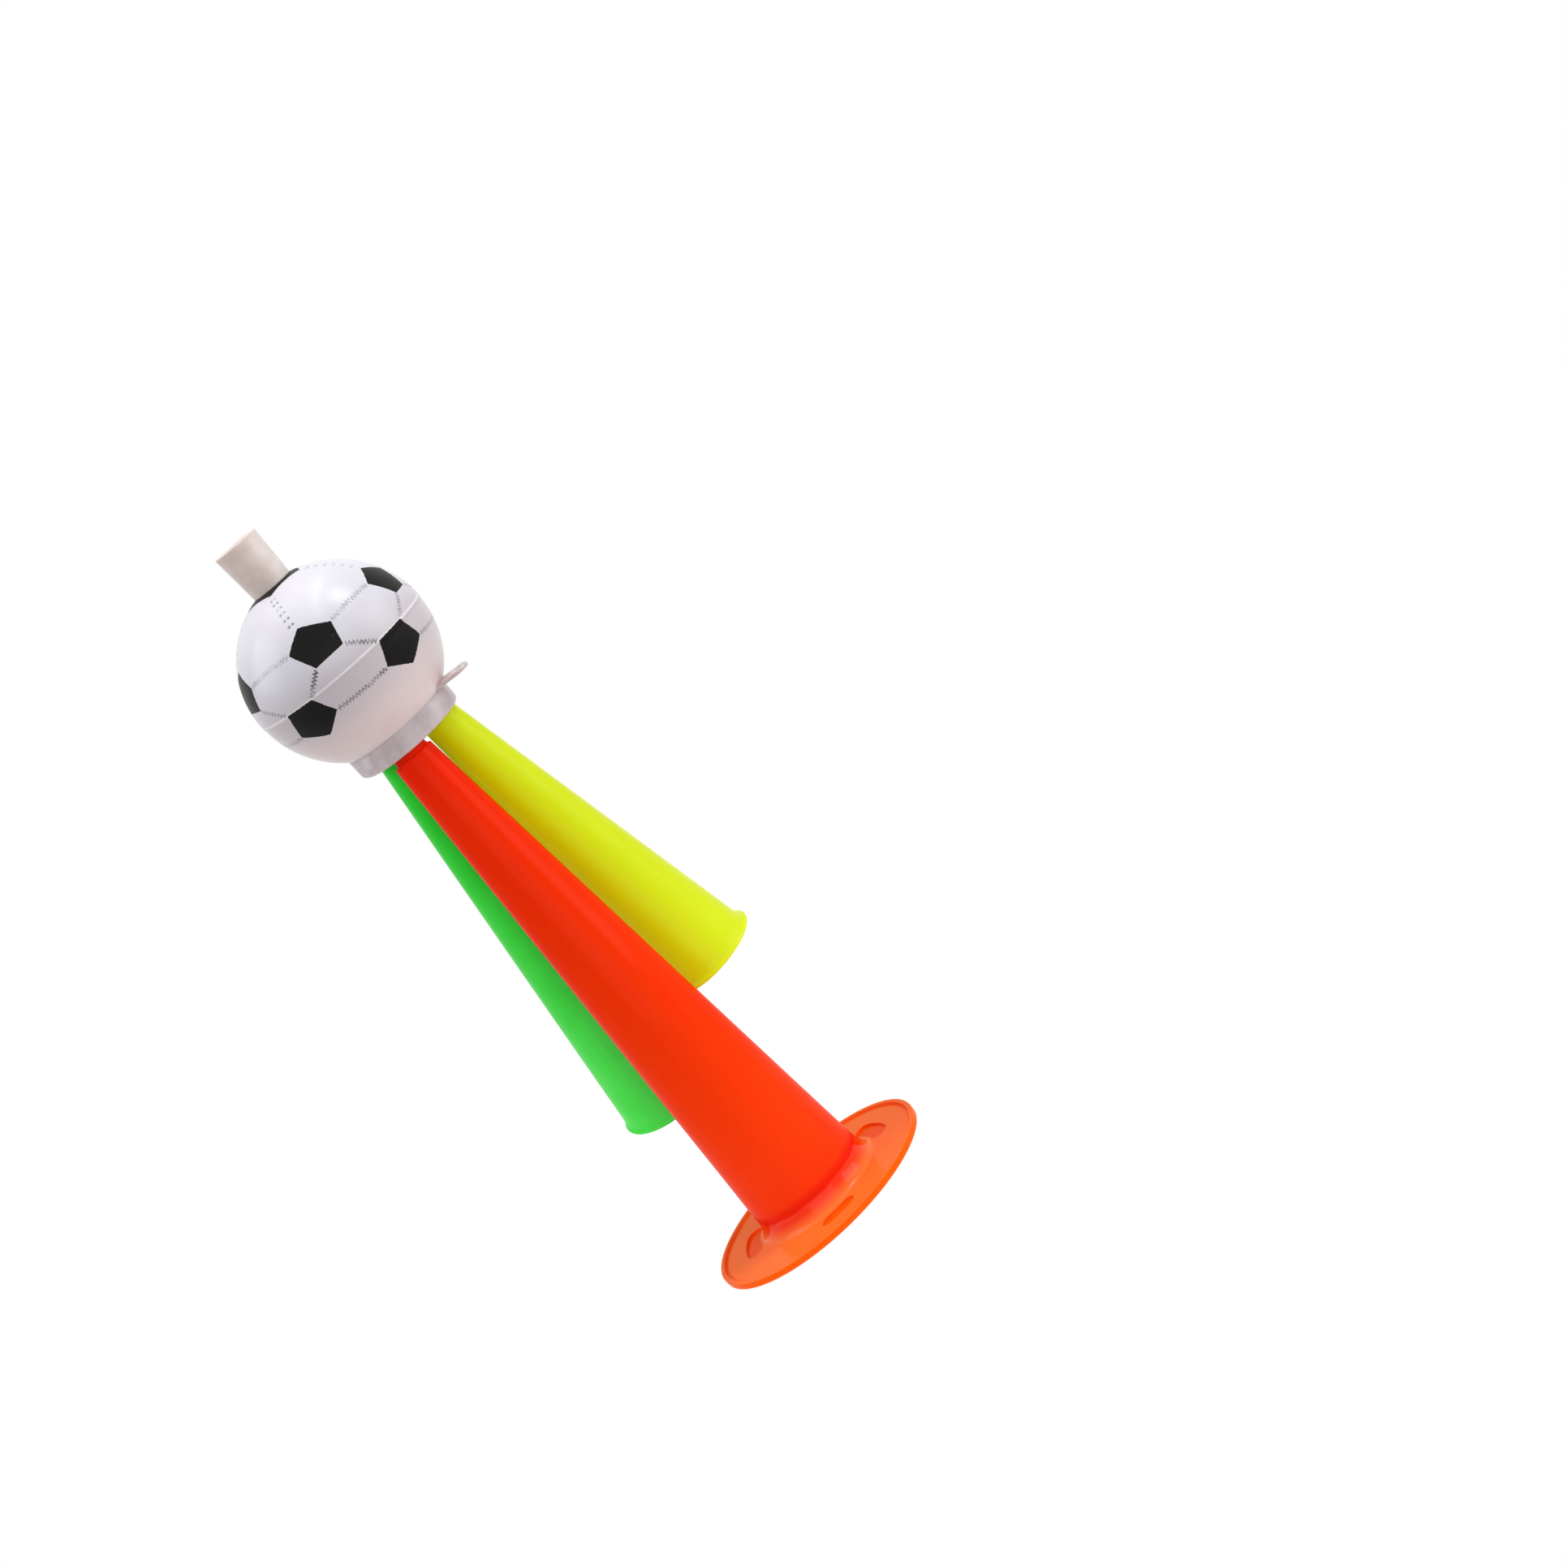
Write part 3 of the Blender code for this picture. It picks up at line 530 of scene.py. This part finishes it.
def pentagonMask(f, direction):  # above 0 inside a pentagon
    best = None
    for corners in ballPrintAndPaintedLight["pentagons"]:
        spots = [onBall(c) for c in corners]
        middle = sum(spots, Vector()).normalized()
        inside = None
        for a, b in zip(spots, spots[1:] + spots[:1]):
            across = a.cross(b).normalized()
            if across.dot(middle) < 0:
                across = -across
            side = f.dot(direction, across)
            inside = side if inside is None else inside.least(side)
        best = inside if best is None else best.most(inside)
    return best


def stitchMask(f, direction, uneven):  # how dark the thread is
    s = ballPrintAndPaintedLight
    radius = ball["radius"]
    sums = {}

    def add(name, inside, value):
        sums[name] = sums[name] + inside * value if name in sums else inside * value

    for a, b, size, dark in s["lines"]:
        a, b = onBall(a), onBall(b)
        normal, middle = a.cross(b).normalized(), (a + b).normalized()
        half = a.angle(b) / 2 * radius - s["cornerRoom"]
        sideways = f.dot(direction, normal) * (radius / size)
        lengthways = f.dot(direction, normal.cross(middle)) * (radius / size)
        inside = (abs(sideways) < s["stitchWidth"]) * (abs(lengthways) < half / size)
        inside = inside * (f.dot(direction, middle) > 0)
        add("dark", inside, dark)
        add("across", inside, sideways)
        add("along", inside, lengthways)
        if size > s["dottedFrom"]:
            add("dotted", inside, 1)
    swing = abs((sums["along"] / s["stitchPitch"]).part() - 0.5) * 4 - 1
    zigzag = abs(sums["across"] - swing * s["stitchReach"]).ramp(s["stitchThick"], 0.2)
    zigzag = zigzag * (abs(swing) * 0.65 + uneven.ramp(0.3, 0.65, 0, 0.65)).least(1)
    row = abs(sums["across"]) - s["stitchReach"]
    step = ((sums["along"] / s["dotPitch"]).part() - 0.5) * s["dotPitch"]
    dots = (row * row + step * step).ramp(s["dot"] ** 2, 0.03) * uneven.ramp(0.2, 0.6, 0.3, 1)
    thread = zigzag + sums["dotted"] * (dots - zigzag)
    return thread * sums["dark"]


def ballFinish():
    s = ballPrintAndPaintedLight
    f = Finish("ballPlastic")
    where = f.here(head)
    height = f.height(where)
    bumps, _, scuff = plainGrain(f, where, s)
    # the print's edges are a little ragged
    ragged = f.vector("SUBTRACT", f.noise(where, 900, 3, out="Color"), (0.5, 0.5, 0.5))
    ragged = f.vector("MULTIPLY_ADD", ragged, (0.6 * mm, 0.6 * mm, 0.6 * mm), where)
    direction = f.vector("NORMALIZE", ragged)
    uneven = f.noise(where, 420, 2)
    patches = f.noise(where, 60, 4)
    ink = pentagonMask(f, direction).ramp(-0.002, 0.003)
    fleck = f.noise(where, 1300, 1).ramp(0.75, 0.79) * f.noise(where, 110, 1).ramp(0.56, 0.64)
    ink = ink * (1 - fleck * 0.7)
    stitch = stitchMask(f, direction, uneven) * (0.2 + patches * 1.1).least(0.95)
    # painted shade: the ball darkens from above its middle downwards, broken up by random patches
    colour = f.mix(height.ramp(*s["shadedDown"]) * 0.8 + (patches - 0.5) * 0.5, s["white"], s["shaded"])
    # painted light: the lower shell is painted lighter and pinker, as if lit from below
    colour = f.mix(height.ramp(*s["lowDown"]), colour, s["low"])
    # painted reflection: reddish patches low on the ball stand for the red trumpets mirrored in it
    blotch = f.noise(where, 45, 3).ramp(0.52, 0.7) * height.ramp(*s["blotchDown"])
    colour = f.mix(blotch * 0.5, colour, s["blotch"])
    fromSeam = height - ball["seam"]
    # painted highlight: a light band along the seam, where the step's edge would catch the light
    colour = f.mix(abs(fromSeam + 0.3).ramp(0.8, 0.3) * (0.35 + patches * 0.6), colour, s["seam"])
    # painted shade: a slightly darker band just below the seam's step
    colour = f.mix(abs(fromSeam + 2).ramp(1.4, 0.6) * 0.3, colour, s["shaded"])
    colour = f.mix(stitch, colour, s["stitch"])
    colour = f.mix(ink, colour, s["ink"])
    rough = s["gloss"] + ink * (s["inkGloss"] - s["gloss"]) + scuff * 0.2 + (patches - 0.5) * 0.08
    f.set(baseColor=colour, roughness=rough, normal=bumps, iOR=1.5)
    f.set(specularIORLevel=0.1, coatWeight=(1 - ink) * 0.46 + 0.02, coatRoughness=0.24)
    return f.material


def buildUpperShell(finish):
    s = ball
    outer, inner = s["radius"], s["radius"] - s["wall"]
    line = Outline()
    line.to(s["hole"], s["bossFoot"], 0.3).to(s["hole"], 38.5)
    line.sweep((0, 0), (outer, outer), math.degrees(math.acos(s["holeEdge"] / outer)), 2.1, 44)
    line.to(outer - 0.1, s["seam"], 0.04)
    line.sweep((0, 0), (inner, inner), math.degrees(math.asin(s["seam"] / inner)), 75.02, 32)
    line.to(s["boss"], 36.2, 0.2).to(s["boss"], s["bossFoot"], 0.4)
    shape = line.done()
    turnRound(shape, s["steps"])
    return makePiece("upperShell", shape, head, finish)


def buildLowerShell(finish):
    s = ball
    outer = s["radius"] - s["step"]
    inner = outer - s["wall"]
    ledge = s["seam"] - s["closed"]
    line = Outline()
    line.to(s["tongue"], s["tongueTop"], 0.3).to(s["tongue"], ledge, 0.1)
    line.to(s["radius"] - 0.12, ledge, 0.03).to(s["radius"] + s["bead"], ledge - 0.85, 0.4)
    line.sweep((0, 0), (outer, outer), -1.5, s["opening"][0], 36)
    line.sweep((0, 0), (inner, inner), s["opening"][1], -6.26, 24)
    line.to(s["tongueIn"], -2.5, 0.5).to(s["tongueIn"], s["tongueTop"], 0.3)
    shape = line.done()
    turnRound(shape, s["steps"])
    return makePiece("lowerShell", shape, head, finish)


shellFinish = ballFinish()
settle(buildUpperShell(shellFinish), "head", "ball_plastic", "ball_upper_shell")
settle(buildLowerShell(shellFinish), "head", "ball_plastic", "ball_lower_shell")


# translucent plastics of collar, mouthpiece and lug
milky = {
    "lilac": {
        "colour": screen(220, 208, 211), "deep": screen(198, 184, 187), "pale": screen(238, 230, 233),
        "rough": 0.34, "cloudScale": 90,
    },
    "warm": {
        "colour": screen(240, 227, 221), "deep": screen(226, 208, 197), "pale": screen(250, 243, 241),
        "rough": 0.32, "cloudScale": 80,
    },
    "pinkish": {
        "colour": screen(218, 204, 202), "deep": screen(206, 188, 186), "pale": screen(230, 220, 220),
        "rough": 0.3, "cloudScale": 200,
    },
    "skinScale": 1300, "skin": 0.08, "flowScale": 500, "flow": 0.05, "scuffScale": 300, "scuff": 0.06,
}


def milkyFinish(name):
    s = milky[name]
    f = Finish("milky" + name.capitalize())
    where = f.here(head)
    bumps, _, scuff = plainGrain(f, where, milky)
    cloud = f.noise(where, s["cloudScale"], 3, 0.6)
    colour = f.mix(cloud.ramp(0.35, 0.7), s["colour"], s["deep"])
    colour = f.mix(f.noise(where, s["cloudScale"] * 0.7, 2).ramp(0.5, 0.75) * 0.8, colour, s["pale"])
    colour = f.mix(scuff * 0.4, colour, s["pale"])
    f.set(baseColor=colour, roughness=s["rough"] + (cloud - 0.5) * 0.12, normal=bumps, iOR=1.47)
    f.set(subsurfaceWeight=0.35, subsurfaceRadius=(1.0, 0.9, 0.95), subsurfaceScale=0.003)
    f.set(specularIORLevel=0.3)
    return f.material


# the tube that is blown into
mouthpiece = {
    "steps": 96, "top": 59.8, "tip": 9.7, "root": 8.6, "foot": 38.82,
    "plug": 7.4, "catch": 7.95, "plugFoot": 29.7, "plugEnd": 28.0,
    "bore": ((5.6, 28.0, 0.2), (5.8, 39.2, 2), (7.1, 55.8, 2), (7.15, 59.8, 0.5)),
}


def buildMouthpiece():
    s = mouthpiece
    line = Outline()
    line.to(s["tip"], s["top"], 0.5).to(s["root"], s["foot"], 0.12).to(s["plug"], s["foot"] + 0.4, 0.1)
    line.to(s["plug"], s["plugFoot"], 0.1).to(s["catch"], s["plugFoot"] - 0.5, 0.15)
    line.to(s["plug"] - 0.2, s["plugEnd"], 0.2)
    for corner in s["bore"]:
        line.to(*corner)
    shape = line.done()
    turnRound(shape, s["steps"])
    return makePiece("blowTube", shape, head, milkyFinish("warm"))


settle(buildMouthpiece(), "head", "milky_warm_plastic", "mouthpiece")


# the cap at the ball's foot, with the three sockets
collar = {
    "steps": 128, "radius": 24.299, "foot": -40.304, "edge": 2.2, "floor": -37.704, "wall": 1.6,
    "trench": -35.379, "ring": 21.599, "ringIn": 20.199, "catch": 22.249, "catchTop": -29.79,
    "ball": 39.41,  # radius of the ball that its rim lies against
    "socketSteps": 72, "socket": 8.9, "bore": 7.8, "passage": 4.9, "depth": 13.3, "ledge": 1.6,
    "draft": math.tan(math.radians(1.55)),
}


def coneBody(place, low, high, lowRadius, highRadius):  # a round body for the collar's sockets
    shape = bmesh.new()
    bmesh.ops.create_cone(
        shape, cap_ends=True, segments=collar["socketSteps"], radius1=lowRadius, radius2=highRadius,
        depth=high - low, matrix=Matrix.Translation((0, 0, (low + high) / 2)),
    )
    bmesh.ops.transform(shape, matrix=place @ Matrix.Scale(mm, 4), verts=shape.verts)
    mesh = bpy.data.meshes.new("socketBody")
    shape.to_mesh(mesh)
    shape.free()
    body = bpy.data.objects.new("socketBody", mesh)
    scene.collection.objects.link(body)
    return body


def underBall(radius):  # height of the ball's underside at a radius
    return -math.sqrt(collar["ball"] ** 2 - radius ** 2)


def buildCollar():
    s = collar
    inner = s["radius"] - s["wall"]
    ringTop, catchTop = s["catchTop"] + 1.6, s["catchTop"]
    line = Outline()
    line.to(s["radius"] - 0.5, underBall(s["radius"] - 0.5)).to(s["radius"], underBall(s["radius"]) - 0.02)
    line.to(s["radius"], s["foot"], s["edge"]).to(0, s["foot"])
    line.to(0, s["floor"]).to(s["ringIn"], s["floor"], 0.3).to(s["ringIn"], ringTop, 0.2)
    line.to(s["ring"] - 0.3, ringTop, 0.1).to(s["catch"], catchTop + 0.7, 0.2)
    line.to(s["catch"], catchTop).to(s["ring"], catchTop - 0.3).to(s["ring"], s["trench"])
    line.to(inner, s["trench"]).to(inner, underBall(inner))
    shape = line.done(segments=8)
    turnRound(shape, s["steps"])
    piece = makePiece("socketCollar", shape, head, milkyFinish("lilac"), 50)

    top, draft = s["depth"] + s["ledge"], s["draft"]
    bodies = []
    for place in seats.values():
        bodies.append(("UNION", coneBody(place, 0.7, top, s["socket"], s["socket"] - draft * top)))
    for place in seats.values():
        low, high = s["bore"] + draft * s["bore"], s["bore"] - draft * s["depth"]
        bodies.append(("DIFFERENCE", coneBody(place, -s["bore"], s["depth"], low, high)))
        passage = coneBody(place, s["depth"] - s["ledge"], top + 2, s["passage"], s["passage"])
        bodies.append(("DIFFERENCE", passage))
    piece.modifiers.clear()
    for operation, body in bodies:
        cut = piece.modifiers.new("socket", "BOOLEAN")
        cut.operation = operation
        cut.object = body
        cut.solver = "EXACT"
    bpy.context.view_layer.update()
    graph = bpy.context.evaluated_depsgraph_get()
    piece.data = bpy.data.meshes.new_from_object(piece.evaluated_get(graph))
    piece.modifiers.clear()
    for _, body in bodies:
        bpy.data.objects.remove(body, do_unlink=True)

    # a small chamfer round the mouth of each socket
    shape = bmesh.new()
    shape.from_mesh(piece.data)
    bmesh.ops.remove_doubles(shape, verts=shape.verts, dist=0.000002)
    down = -head.col[2].xyz
    level = head @ Vector((0, 0, s["foot"] * mm))
    mouths = []
    for edge in shape.edges:
        flat = all(abs((v.co - level).dot(down)) < 0.00002 for v in edge.verts)
        if flat and len(edge.link_faces) == 2 and edge.calc_face_angle() > math.radians(50):
            mouths.append(edge)
    bmesh.ops.bevel(
        shape, geom=mouths, offset=0.0003, offset_type="OFFSET", segments=3, profile=0.5,
        affect="EDGES", material=-1, clamp_overlap=True,
    )
    shape.to_mesh(piece.data)
    shape.free()
    shadeEvenly(piece)
    return piece


settle(buildCollar(), "head", "milky_lilac_plastic", "collar")


# the thin eye for a cord on the lower shell
lug = {
    "low": -30.8, "thick": 1.6, "wide": 9.5, "root": 23.66, "end": 34.75, "turn": -10, "edge": 0.3,
    "eye": 1.8, "eyeOut": 34.95,
}


def buildLug():
    s = lug
    half = s["wide"] / 2
    shape = bmesh.new()
    corner = shape.verts.new((s["root"], -half, s["low"]))
    corner = bmesh.ops.extrude_vert_indiv(shape, verts=[corner])["verts"][0]
    corner.co.x = s["end"]
    corner = bmesh.ops.spin(
        shape, geom=[corner], cent=(s["end"], 0, s["low"]), axis=(0, 0, 1), angle=math.pi, steps=28
    )["geom_last"][0]
    corner = bmesh.ops.extrude_vert_indiv(shape, verts=[corner])["verts"][0]
    corner.co.x = s["root"]
    shape.verts.ensure_lookup_table()
    shape.edges.new((corner, shape.verts[0]))
    bmesh.ops.create_circle(
        shape, segments=32, radius=s["eye"], matrix=Matrix.Translation((s["eyeOut"], 0, s["low"]))
    )
    bmesh.ops.triangle_fill(shape, edges=shape.edges, normal=(0, 0, 1), use_beauty=True)
    raised = bmesh.ops.extrude_face_region(shape, geom=shape.faces[:])["geom"]
    top = [part for part in raised if isinstance(part, bmesh.types.BMVert)]
    bmesh.ops.translate(shape, verts=top, vec=(0, 0, s["thick"]))
    bmesh.ops.recalc_face_normals(shape, faces=shape.faces)
    corners = [e for e in shape.edges if len(e.link_faces) == 2 and e.calc_face_angle() > 1]
    rims = [e for e in corners if abs(e.verts[0].co.z - e.verts[1].co.z) < 0.1]
    bmesh.ops.bevel(
        shape, geom=rims, offset=s["edge"], offset_type="OFFSET", segments=3, profile=0.5,
        affect="EDGES", material=-1,
    )
    place = head @ Matrix.Rotation(math.radians(s["turn"]), 4, "Z")
    return makePiece("lanyardLug", shape, place, milkyFinish("pinkish"))


settle(buildLug(), "head", "ball_plastic", "ball_lower_shell")


# the reeds are carried over and only get their finish
reeds = {
    "body": {"colour": screen(226, 222, 214), "deep": screen(206, 200, 190), "rough": 0.38},
    "ring": {"colour": screen(222, 218, 210), "deep": screen(198, 192, 182), "rough": 0.42},
    "tongue": {"colour": screen(214, 216, 220), "deep": screen(190, 192, 198), "rough": 0.24},
    "skinScale": 1800, "skin": 0.08, "flowScale": 900, "flow": 0.08, "scuffScale": 500, "scuff": 0.08,
}


def reedFinish(kind, key):
    s = reeds[kind]
    f = Finish("reed" + kind.capitalize() + key.capitalize())
    where = f.here(seats[key])
    bumps, _, scuff = plainGrain(f, where, reeds)
    cloud = f.noise(where, 300, 3)
    colour = f.mix(cloud.ramp(0.3, 0.7), s["colour"], s["deep"])
    f.set(baseColor=colour, roughness=s["rough"] + (cloud - 0.5) * 0.1 + scuff * 0.1, normal=bumps, iOR=1.48)
    return f.material


for key in seats:
    for kind in ("body", "ring", "tongue"):
        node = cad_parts["reed_" + kind + "_" + key]
        node.material_slots[0].material = reedFinish(kind, key)
print("reeds finished")


# floor, light and camera
studio = {
    "floor": 3.0, "floorColour": screen(222, 220, 222), "floorGlow": 0.55, "fade": (0.12, 0.5),
    "skyLight": 0.34,
    "key": {"at": (0.8, 0.0, 1.15), "size": (0.36, 0.36), "power": 3.6},
    "top": {"at": (0, 0, 1.5), "size": (1.1, 1.1), "power": 3.6},
    "left": {"at": (-0.95, -0.3, 1.1), "size": (0.9, 0.9), "power": 6.5},
    "right": {"at": (1.2, -0.1, 0.35), "size": (0.8, 0.6), "power": 4.3},
    "front": {"at": (0.45, -1.5, 0.45), "size": (1.6, 1.2), "power": 6.8},
    "strip": {"at": (0.42, -0.02, 1.25), "size": (1.05, 0.08), "power": 2.0, "along": (0.08, -1.04, -0.05)},
}


def seenDirectly(f):  # 1 for what the camera, a gloss or a clear plastic sees
    rays = ("Is Camera Ray", "Is Glossy Ray", "Is Transmission Ray")
    camera, glossy, through = (f.node("ShaderNodeLightPath", out=ray) for ray in rays)
    return camera.most(glossy).most(through)


def buildFloor():
    shape = bmesh.new()
    bmesh.ops.create_circle(shape, cap_ends=True, segments=96, radius=studio["floor"])
    bmesh.ops.translate(shape, verts=shape.verts, vec=(0, 0, -0.0002))
    mesh = bpy.data.meshes.new("floor")
    shape.to_mesh(mesh)
    shape.free()
    floor = bpy.data.objects.new("floor", mesh)
    scene.collection.objects.link(floor)
    f = Finish("paleFloor")
    f.set(baseColor=studio["floorColour"], roughness=0.7)
    glow, dark, white = (
        f.node("ShaderNodeEmission", sockets={"Strength": strength})
        for strength in (studio["floorGlow"], 0.0, 1.0)
    )
    near = f.node("ShaderNodeAddShader", sockets={0: Wire(f, f.shader.outputs[0]), 1: glow})
    far = f.node("ShaderNodeMixShader", sockets={0: seenDirectly(f), 1: dark, 2: white})
    away = f.length(f.node("ShaderNodeTexCoord", out="Object")).ramp(*studio["fade"])
    both = f.node("ShaderNodeMixShader", sockets={0: away, 1: near, 2: far})
    f.join(both, f.tree.nodes["Material Output"].inputs["Surface"])
    mesh.materials.append(f.material)


def buildLight(name, at, size, power, along=None):
    light = bpy.data.lights.new(name, "AREA")
    light.shape = "RECTANGLE"
    light.size, light.size_y = size
    light.energy = power
    lamp = bpy.data.objects.new(name, light)
    scene.collection.objects.link(lamp)
    back = (Vector(at) - ballMiddle * mm).normalized()  # every lamp faces the ball
    side = back.cross(Vector(along).cross(back)) if along else Vector((0, 0, 1)).cross(back)
    side.normalize()
    turned = Matrix((side, back.cross(side), back)).transposed()
    lamp.matrix_world = Matrix.Translation(at) @ turned.to_4x4()


def buildSky():
    world = bpy.data.worlds.new("studio")
    world.use_nodes = True
    scene.world = world
    f = Finish("studio", world.node_tree)
    sky = world.node_tree.nodes["Background"]
    f.join((1, 1, 1, 1), sky.inputs["Color"])
    f.join(seenDirectly(f) * (1 - studio["skyLight"]) + studio["skyLight"], sky.inputs["Strength"])


eye = {
    "at": (0.27999, -0.82297, 0.28669), "lens": 50.31, "sensor": 36, "clip": (0.01, 20),
    "right": (0.75399, 0.04305, -0.65547), "down": (-0.62373, -0.26608, -0.73495),
    "ahead": (-0.20605, 0.96299, -0.17377),
}


def buildCamera():
    camera = bpy.data.cameras.new("camera")
    camera.sensor_width = eye["sensor"]
    camera.lens = eye["lens"]
    camera.clip_start, camera.clip_end = eye["clip"]
    shot = bpy.data.objects.new("camera", camera)
    scene.collection.objects.link(shot)
    turned = Matrix((Vector(eye["right"]), -Vector(eye["down"]), -Vector(eye["ahead"]))).transposed()
    shot.matrix_world = Matrix.Translation(eye["at"]) @ turned.to_4x4()
    scene.camera = shot


buildFloor()
for lampName in ("key", "top", "left", "right", "front", "strip"):
    buildLight(lampName + "Light", **studio[lampName])
buildSky()
buildCamera()
scene.view_settings.view_transform = "Standard"
print("studio ready")
